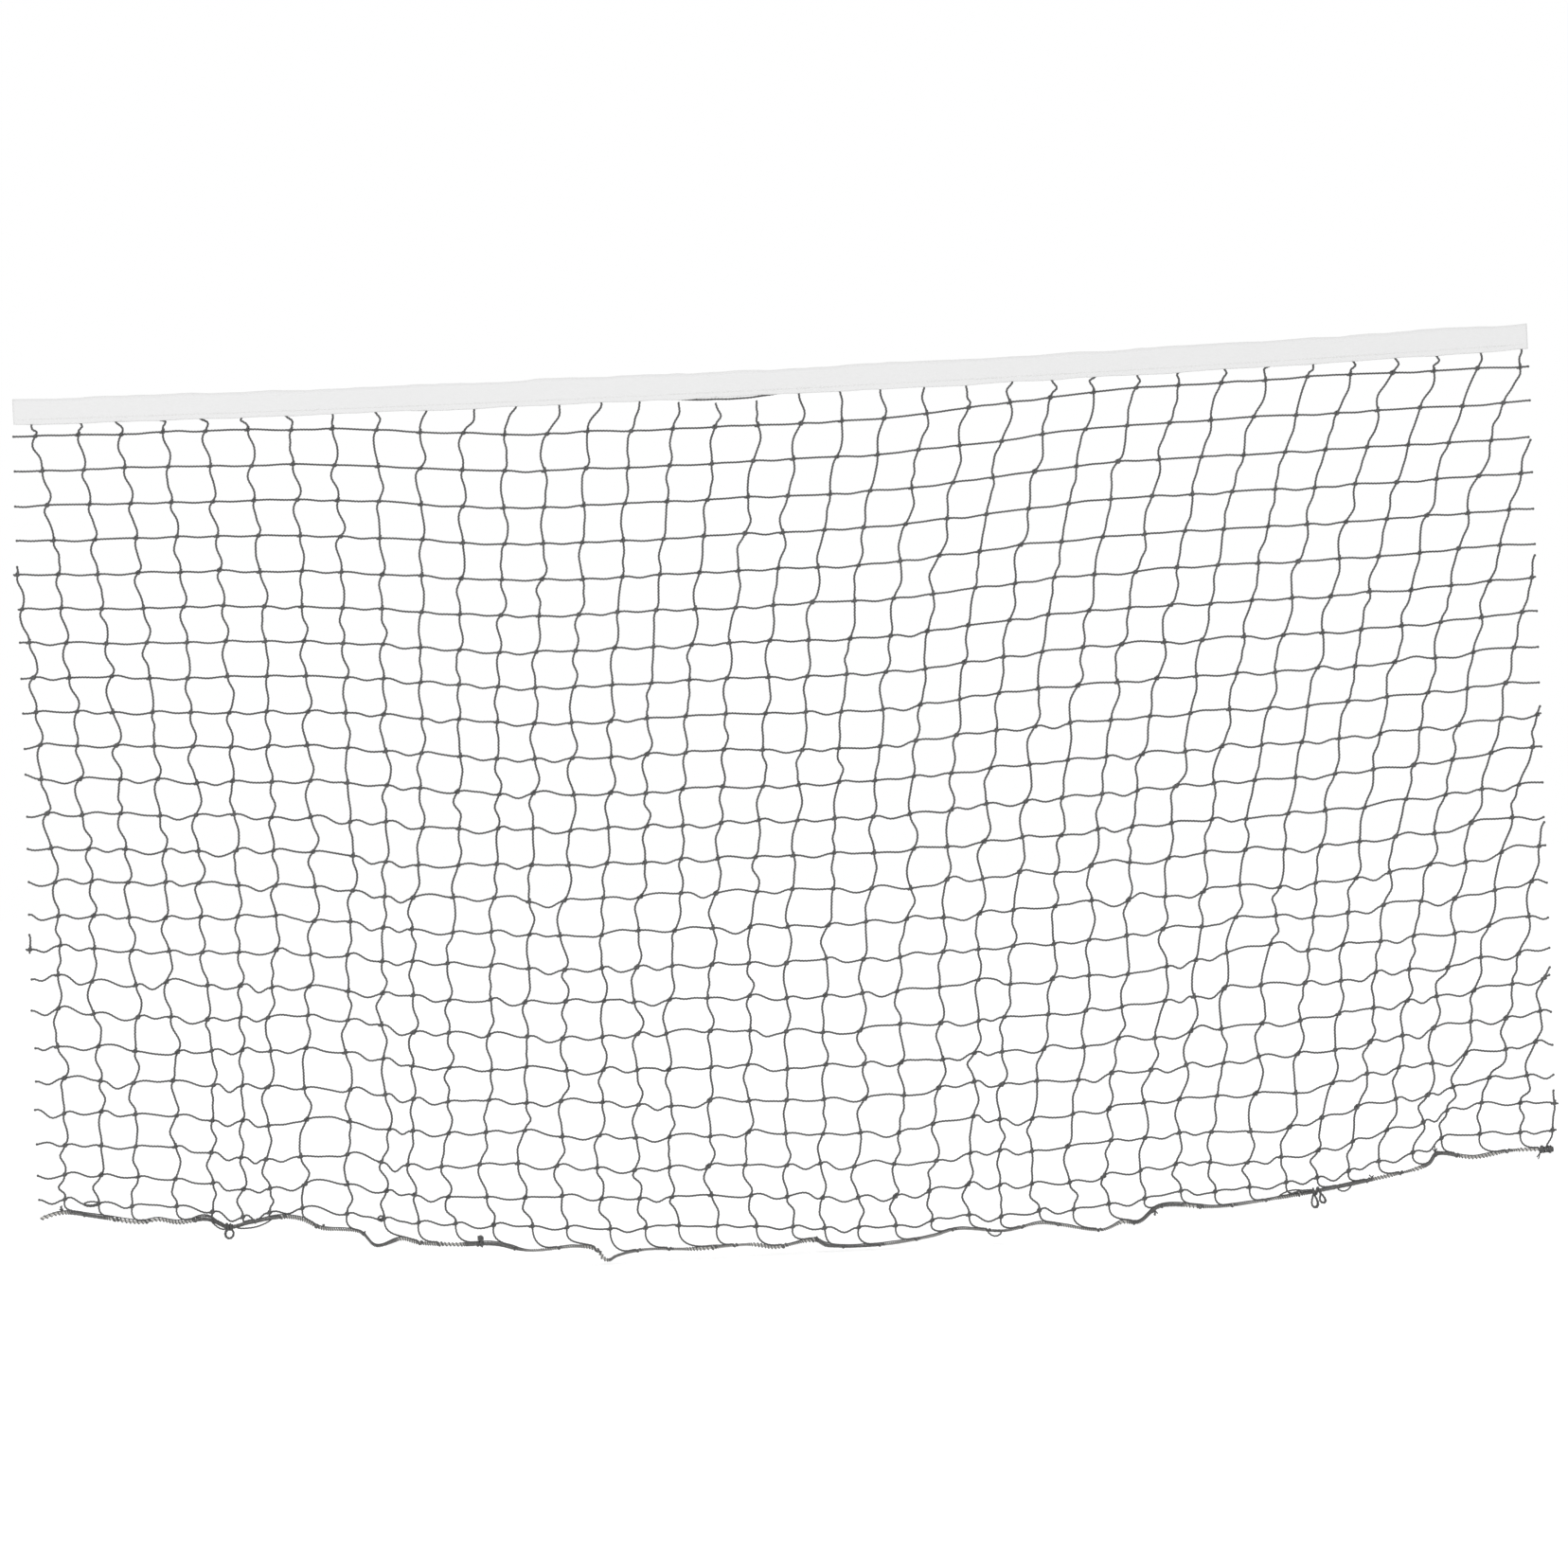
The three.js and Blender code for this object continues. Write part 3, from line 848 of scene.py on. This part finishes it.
def add_netting_row(shape, row, knots, level, hang, keep):
    """One row of knots, with the level sides between them and the hanging sides under them."""
    slack = float(smooth_step((row - 2) / 14))
    if row > 0:
        paths = mesh_sides(
            knots[row, :-1], knots[row, 1:], level[row, :-1], level[row, 1:],
            0.33, MM * (0.20 + 0.9 * slack), MM * (0.15 + 0.45 * slack), LEVEL_SIDE, 0.0015,
        )
        paths, cuts = cut_at_sides(paths, keep[row, :-1], keep[row, 1:])
        shape.add_twine(paths, LEVEL_RADIUS)
        add_sealed_ends(shape, cuts)
    if row < ROWS:
        paths = mesh_sides(
            knots[row], knots[row + 1], hang[row], hang[row + 1],
            0.37, MM * 0.9, MM * 0.7, HANGING_SIDE, 0,
        )
        paths, cuts = cut_at_sides(paths, keep[row], keep[row + 1])
        shape.add_twine(paths, TWINE_RADIUS)
        add_sealed_ends(shape, cuts)
    if row > 0:
        here = keep[row]
        count = int(here.sum())
        flip = np.where((np.arange(count) + row) % 2 == 0, 1.0, -1.0) if row % 2 else -np.ones(count)
        for strand in knot_strands(knots[row][here], level[row][here], hang[row][here], flip):
            slim_ends = np.full(strand.shape[1], TWINE_RADIUS * 0.96)
            slim_ends[[0, 1, -2, -1]] *= [0.5, 0.8, 0.8, 0.5]
            shape.add_twine(strand, slim_ends[None], lobe=0.10)
    if row == ROWS:
        paths = lashing_paths(knots[row][keep[row]], hang[row][keep[row]])
        shape.add_twine(paths, TWINE_RADIUS * 0.9)


def make_netting(knots, level, hang):
    """The netting in runs of two rows, each with its knots and the mesh sides that leave them."""
    keep = inside(knots)
    runs = [(r, r + 1) for r in range(0, ROWS, 2)] + [(ROWS, ROWS)]
    replaced = {f"netting_{part}": f"net_{part}" for part in ("upper", "middle", "lower")}
    for first, last in runs:
        shape = Shape()
        for row in range(first, last + 1):
            add_netting_row(shape, row, knots, level, hang, keep)
        piece = shape.make(f"netting_rows_{first:02d}_{last:02d}")
        heights = shape.heights()
        a, b, start, end = turn_for(heights.max(), heights.min())
        bodies = (a,) if b is None else (a, b)
        dress(piece, TWINE, "dark_twine", *(replaced[n] for n in bodies if n in replaced))
        if b is None:
            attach(piece, a)
        else:
            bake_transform(piece)


def lashing_paths(places, hang):
    """The last mesh sides, which sweep sideways onto the rope, run along it and go round it once."""
    n = len(places)
    start = places + hang * ARM
    height = start[:, 2] - rope_at_x(start[:, 0])[1]
    sweep = np.clip(height * rng.uniform(0.6, 1.4, n), 5 * MM, 30 * MM)
    land_x = np.minimum(start[:, 0] + sweep, ROPE[-1, 0] - 0.004)
    rope_y, rope_z = rope_at_x(land_x)
    top = rope_size(land_x) * ROPE_RADIUS + LACING_TWINE
    land = xyz(land_x, rope_y, rope_z + top)
    ahead = rope_at_x(land_x + 0.002)
    slope = unit(xyz(0.002, ahead[0] - rope_y, ahead[1] - rope_z))
    reach = np.linalg.norm(land - start, axis=1, keepdims=True) * 0.45
    down = bezier(start, start + hang * reach, land - slope * reach, land, 24)
    t = np.arange(1, 35) / 34
    x = np.minimum(land_x[:, None] + t[None] * rng.uniform(0.009, 0.013, (n, 1)), ROPE[-1, 0])
    y, z = rope_at_x(x)
    angle = math.pi / 2 + 2 * math.pi * 1.3 * smooth_step((t - 0.35) / 0.65)
    wound = xyz(x, y, z) + way_round(angle, FAR, UP) * top[:, None, None]
    return np.concatenate([down, wound], axis=1)


def make_selvedge():
    """The netting's top twine, inside the headband's mouth and out of it for a short way."""
    x = np.linspace(side_x(-1, 0) + 0.0005, side_x(1, 0) - 0.0005, 420)
    z = headline_z(x) - TAPE_DROP + MM * (selvedge_height(x) + 0.2 * smooth_noise(len(x), 6))
    shape = Shape()
    shape.add_twine(xyz(x, 0.0, z)[None], TWINE_RADIUS)
    piece = dress(shape.make("selvedge"), TWINE, "dark_twine", "selvedge_twine")
    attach(piece, "headline")


# ---------------------------------------------------------------- the bottom rope

ROPE_LAY = 0.0092            # one turn of the rope's three strands
LACING_STEPS = 11            # points to each turn of the lacing
LACING_GAP = 0.002           # from a lacing knot's middle to the lengths on both sides of it

# Stretches, in X, where the lacing is wound closely and the rope looks dark
CLOSE_LACING = (
    (-0.772, -0.721), (-0.640, -0.541), (-0.470, -0.420), (-0.362, -0.290), (-0.212, -0.169),
    (0.004, 0.085), (0.190, 0.215), (0.330, 0.400), (0.515, 0.600), (0.640, 0.688), (0.765, 0.782),
)
# and where it is wound rather closely
DENSER_LACING = ((-0.545, -0.465), (-0.425, -0.376), (-0.290, -0.236), (0.220, 0.290), (0.462, 0.521))
# Stretches where the slack rope is pulled thin
THIN_ROPE = (
    (-0.500, -0.430), (-0.310, -0.228), (-0.212, -0.120), (-0.100, -0.052), (-0.030, 0.002),
    (0.020, 0.330), (0.410, 0.500), (0.610, 0.640), (0.720, 0.750),
)

# Where a mesh's twine has come off the rope and hangs slack under it, or stands over it: from X,
# to X, and how far up
SLACK_STRANDS = (
    (-0.618, -0.603, -0.0030), (-0.592, -0.556, -0.0045), (0.189, 0.203, -0.0040),
    (0.556, 0.570, -0.0040), (0.494, 0.522, 0.0042), (0.505, 0.531, 0.0020), (-0.640, -0.612, 0.0030),
)

FRAYED_RADIUS = 0.0007

# Frayed ends on the rope: X, how many, how long, and which way they stand
FRAYED_ENDS = (
    (-0.7745, 4, 0.0050, 0.6), (-0.503, 3, 0.0032, 1.0), (0.0120, 3, 0.0040, 0.7), (0.3640, 4, 0.0045, -1.0),
    (0.6585, 4, 0.0060, 1.0), (0.5920, 2, 0.0035, 1.0), (-0.4600, 3, 0.0030, 1.0), (0.768, 2, 0.0080, -1.0),
)

# Slack knots in the last row that have opened into an eyelet: X, width and height
EYELETS = ((-0.731, 0.0150, 0.0050), (-0.447, 0.0060, 0.0055))


def in_stretches(x, stretches, soft):
    """1 inside the stretches and 0 outside, with soft ends."""
    inner = np.zeros_like(x)
    for left, right in stretches:
        inner = np.maximum(inner, smooth_step((x - left) / soft) * smooth_step((right - x) / soft))
    return inner


def rope_size(x):
    """The rope's thickness as a share of its usual thickness."""
    return 1 - 0.38 * in_stretches(x, THIN_ROPE, 0.012)


def make_rope():
    """A light rope of three strands, laid closely. Its broken fibres are made with the strays."""
    turn = 2 * math.pi * ROPE_DISTANCE / ROPE_LAY
    radius = ROPE_RADIUS * rope_size(ROPE[:, 0])
    shape = Shape()
    for strand in range(3):
        angle = turn + strand * 2 * math.pi / 3
        path = ROPE + 0.47 * radius[:, None] * way_round(angle, ROPE_SIDE, ROPE_OTHER)
        shape.add_tubes(path[None], 0.53 * radius[None], 8)
    rope = dress(shape.make("bottom_rope_strands"), ROPE_FIBRE, "white_rope", "bottom_rope")
    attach(rope, "netting_lower")


def lacing_pitch(x):
    pitch = 0.0040 + 0.0006 * np.sin(x * 61) + 0.0004 * np.sin(x * 173)
    for stretches, close in ((THIN_ROPE, 0.0020), (DENSER_LACING, 0.0024), (CLOSE_LACING, 0.0014)):
        inner = in_stretches(x, stretches, 0.008)
        pitch = pitch * (1 - inner) + close * inner
    return pitch


def make_lacing():
    """Four lengths of thin twine wound round the rope, each from one knot to the next. Another strand
    of the same twine runs along the rope, now on its top and now behind it."""
    turns = np.concatenate([[0], np.cumsum(np.diff(ROPE_DISTANCE) / lacing_pitch(ROPE[1:, 0]))])
    size = ROPE_RADIUS * rope_size(ROPE[:, 0])
    drift = np.clip(math.pi * (0.28 + 0.22 * smooth_noise(len(ROPE), 900)), 0.1, 1.6)
    out = size + 0.0010 + 0.0002 * smooth_noise(len(ROPE), 60)
    straight = ROPE + way_round(drift, FAR, UP) * out[:, None]
    start = 0.001
    for name, share in KNOT_SHARES.items():
        end = share * ROPE_LENGTH - LACING_GAP
        first, last = np.interp([start, end], ROPE_DISTANCE, turns)
        at = np.linspace(first, last, int((last - first) * LACING_STEPS))
        s = np.interp(at, turns, ROPE_DISTANCE)
        centre, a, b = (interpolate(s, ROPE_DISTANCE, v) for v in (ROPE, ROPE_SIDE, ROPE_OTHER))
        loose = smooth_step((lacing_pitch(centre[:, 0]) - 0.0018) / 0.0018)
        wobble = 0.00008 * np.sin(at * 1.7) + 0.00006 * np.sin(at * 0.37)
        reach = np.interp(s, ROPE_DISTANCE, size) + 0.00030 + 0.00022 * loose + wobble
        path = centre + reach[:, None] * way_round(2 * math.pi * at, a, b)
        shape = Shape()
        shape.add_tubes(path[None], LACING_TWINE, 5)
        here = (ROPE_DISTANCE >= start) & (ROPE_DISTANCE <= end)
        shape.add_tubes(straight[here][None], LACING_TWINE * 1.15, 6, lobe=0.1, lay=0.006)
        node = f"lacing_to_{name}_knot"
        piece = dress(shape.make(f"lacing_twine_{name}"), TWINE, "dark_twine", node)
        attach(piece, "netting_lower")
        start = share * ROPE_LENGTH + LACING_GAP


def make_strays(last_row):
    """Slack strands by the rope, frayed ends on it, and eyelets in the last row of meshes."""
    shape = Shape()
    for left, right, rise in SLACK_STRANDS:
        t = np.linspace(0, 1, 30)
        x = left + (right - left) * t
        y, z = rope_at_x(x)
        hump = np.sin(math.pi * t) ** 0.7
        leaves = math.copysign(0.0015, rise)
        path = xyz(x, y - 0.0015 - 0.001 * hump, z + leaves + rise * hump)
        shape.add_twine(path[None], TWINE_RADIUS * 0.8)
    for x, ends, length, up in FRAYED_ENDS:
        y, z = rope_at_x(x)
        add_tuft(shape, np.array([x, y, z + math.copysign(0.0020, up)]), ends, length, up)
    for x, width, height in EYELETS:
        knot = last_row[np.argmin(np.abs(last_row[:, 0] - x))]
        angle = np.linspace(0.3, 2 * math.pi + 0.6, 40)
        across, up = width / 2 * (np.cos(angle) - 1), height / 2 * np.sin(angle)
        ring = xyz(across, 0.0006 * angle - 0.0035, up)
        shape.add_twine((knot + ring)[None], TWINE_RADIUS * 0.9)
    piece = dress(shape.make("rope_strays"), TWINE, "dark_twine")
    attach(piece, "netting_lower")


def rope_frame(distance_along):
    """The rope's place and its own three directions at a distance along it."""
    k = int(np.argmin(np.abs(ROPE_DISTANCE - distance_along)))
    return ROPE[k], ROPE_TANGENT[k], ROPE_SIDE[k], ROPE_OTHER[k]


def knot_round_rope(shape, place, tangent, side, other, turns, radius, length, twine):
    """Twine wrapped to and fro over itself round the rope, as a closed knot."""
    t = np.linspace(0, 1, 36 * turns // 2)
    angle = 2 * math.pi * turns * t
    slide = length * np.sin(2 * math.pi * t * 2 + 0.4) * 0.5
    out = radius + 0.0007 * np.sin(angle * 0.5 + 1.0)
    path = place + slide[:, None] * tangent + out[:, None] * way_round(angle, side, other)
    shape.add_twine(path[None], twine, lobe=0.12)


def make_lacing_knots():
    """The knots that tie off the lacing. The middle one stands over the rope as a small ball."""
    sizes = {"left": (5, 0.0028, 0.0060), "middle": (4, 0.0027, 0.0050),
             "right": (6, 0.0029, 0.0066), "end": (7, 0.0029, 0.0100)}
    for name, (turns, radius, length) in sizes.items():
        place, tangent, side, other = rope_frame(KNOT_SHARES[name] * ROPE_LENGTH)
        shape = Shape()
        knot_round_rope(shape, place, tangent, side, other, turns, radius, length, 0.0010)
        if name == "middle":
            ball = place + [0.001, 0, 0.0058]
            knot_round_rope(shape, ball, side, tangent, other, 5, 0.0020, 0.0036, 0.0009)
            knot_round_rope(shape, ball, other, side, tangent, 4, 0.0017, 0.0030, 0.0009)
            add_tuft(shape, ball, 3, 0.0038, up=0.3)
        piece = dress(shape.make(f"lacing_hitch_{name}"), TWINE, "dark_twine", f"lacing_knot_{name}")
        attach(piece, "netting_lower")


def add_tuft(shape, place, ends, length, up):
    """A few cut ends of twine that stand out of a knot."""
    way = rng.normal(0, 0.5, (ends, 3))
    way[:, 2] = up
    way = unit(way)
    bend = rng.normal(0, 0.3, (ends, 3))
    t = np.linspace(0, 1, 9)[None, :, None]
    size = rng.uniform(0.7, 1.1, (ends, 1, 1)) * length
    paths = place + way[:, None] * t * size + bend[:, None] * t ** 2 * size * 0.6
    shape.add_twine(paths, FRAYED_RADIUS, lobe=0.1)


RING, DROP = 0.0, 0.6        # how far a loop is pinched at its top


def add_loop(shape, top, width, height, lean, twine, pinch):
    """A loop of twine that hangs from a point: a ring, or a drop where it is pinched at the top."""
    angle = np.linspace(0, 2 * math.pi, 48)
    half = np.clip(np.sin(angle / 2), 0, 1)
    x = width * 0.5 * np.sin(angle) * half ** pinch
    z = -height * half ** (2 - pinch)
    y = 0.0012 * np.cos(angle / 2)
    shape.add_twine((xyz(x + lean * z, y, z) + top)[None], twine)


def make_loops():
    """The loops that hang under two of the knots. Each is wound twice."""
    for node, knot, sideways, width, height, lean, pinch in (
        ("ring_loop", "left", 0.0, 0.0088, 0.0098, 0.02, RING),
        ("tie_loop_left", "right", -0.0035, 0.0080, 0.0150, -0.10, DROP),
        ("tie_loop_right", "right", 0.0040, 0.0070, 0.0105, -0.25, DROP),
    ):
        place = rope_frame(KNOT_SHARES[knot] * ROPE_LENGTH)[0] + [sideways, 0, -0.0022]
        shape = Shape()
        add_loop(shape, place, width, height, lean, 0.00112, pinch)
        inner = place + [0.0004, 0.0016, -0.0004]
        add_loop(shape, inner, width * 0.88, height * 0.92, lean + 0.06, 0.00095, pinch)
        piece = dress(shape.make(f"{node}_twine"), TWINE, "dark_twine", node)
        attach(piece, "netting_lower")


# ---------------------------------------------------------------- camera, light and floor

CAMERA_TURN = math.radians(2.86)     # the view is turned this far, so that the net climbs to the right
CAMERA_AIM = Vector((0.0, 0.0, -0.429))
CAMERA_DISTANCE = 8.0
FRAME_WIDTH = 1.6345                 # of the whole square view, at the net


def make_camera():
    data = bpy.data.cameras.new("camera")
    data.sensor_width = 36.0
    data.lens = data.sensor_width * CAMERA_DISTANCE / FRAME_WIDTH
    data.clip_end = 100
    camera = bpy.data.objects.new("camera", data)
    right = Vector((math.cos(CAMERA_TURN), 0, -math.sin(CAMERA_TURN)))
    up = Vector((math.sin(CAMERA_TURN), 0, math.cos(CAMERA_TURN)))
    back = Vector((0, -1, 0))
    turn = Matrix((right, up, back)).transposed().to_4x4()
    camera.matrix_world = Matrix.Translation(CAMERA_AIM + back * CAMERA_DISTANCE) @ turn
    bpy.context.scene.collection.objects.link(camera)
    bpy.context.scene.camera = camera


def make_light():
    world = bpy.data.worlds.new("studio")
    world.use_nodes = True
    world.node_tree.nodes["Background"].inputs["Color"].default_value = (1, 1, 1, 1)
    world.node_tree.nodes["Background"].inputs["Strength"].default_value = 1.0
    bpy.context.scene.world = world
    bpy.context.scene.view_settings.view_transform = "Standard"
    for name, place, size, energy in (
        ("key", (-1.3, -4.2, 1.6), 2.4, 31.0), ("fill", (2.2, 2.0, 0.8), 2.0, 9.0),
    ):
        lamp = bpy.data.lights.new(name, "AREA")
        lamp.size = size
        lamp.energy = energy
        light = bpy.data.objects.new(name, lamp)
        light.location = place
        aim = Vector((0, 0, -0.45)) - Vector(place)
        light.rotation_euler = aim.to_track_quat("-Z", "Y").to_euler()
        bpy.context.scene.collection.objects.link(light)


def make_floor():
    mesh = bpy.data.meshes.new("floor")
    z, half = CAD_BOX[0][2] - 0.002, 30.0
    corners = [(-half, -half, z), (half, -half, z), (half, half, z), (-half, half, z)]
    mesh.from_pydata(corners, [], [(0, 1, 2, 3)])
    floor = bpy.data.objects.new("floor", mesh)
    floor.data.materials.append(floor_material())
    bpy.context.scene.collection.objects.link(floor)


# ---------------------------------------------------------------- the scene

make_camera()
make_light()
make_floor()

knots = knot_places()
level, hang = strand_directions(knots)
stubs = knots[0, :, 0]
stubs = stubs[(stubs > side_x(-1, 0)) & (stubs < side_x(1, 0))]

make_cable()
tape_skin = make_tape(stubs)
make_stitches(tape_skin)
make_selvedge()
make_netting(knots, level, hang)
make_rope()
make_lacing()
make_lacing_knots()
make_loops()
make_strays(knots[ROWS])
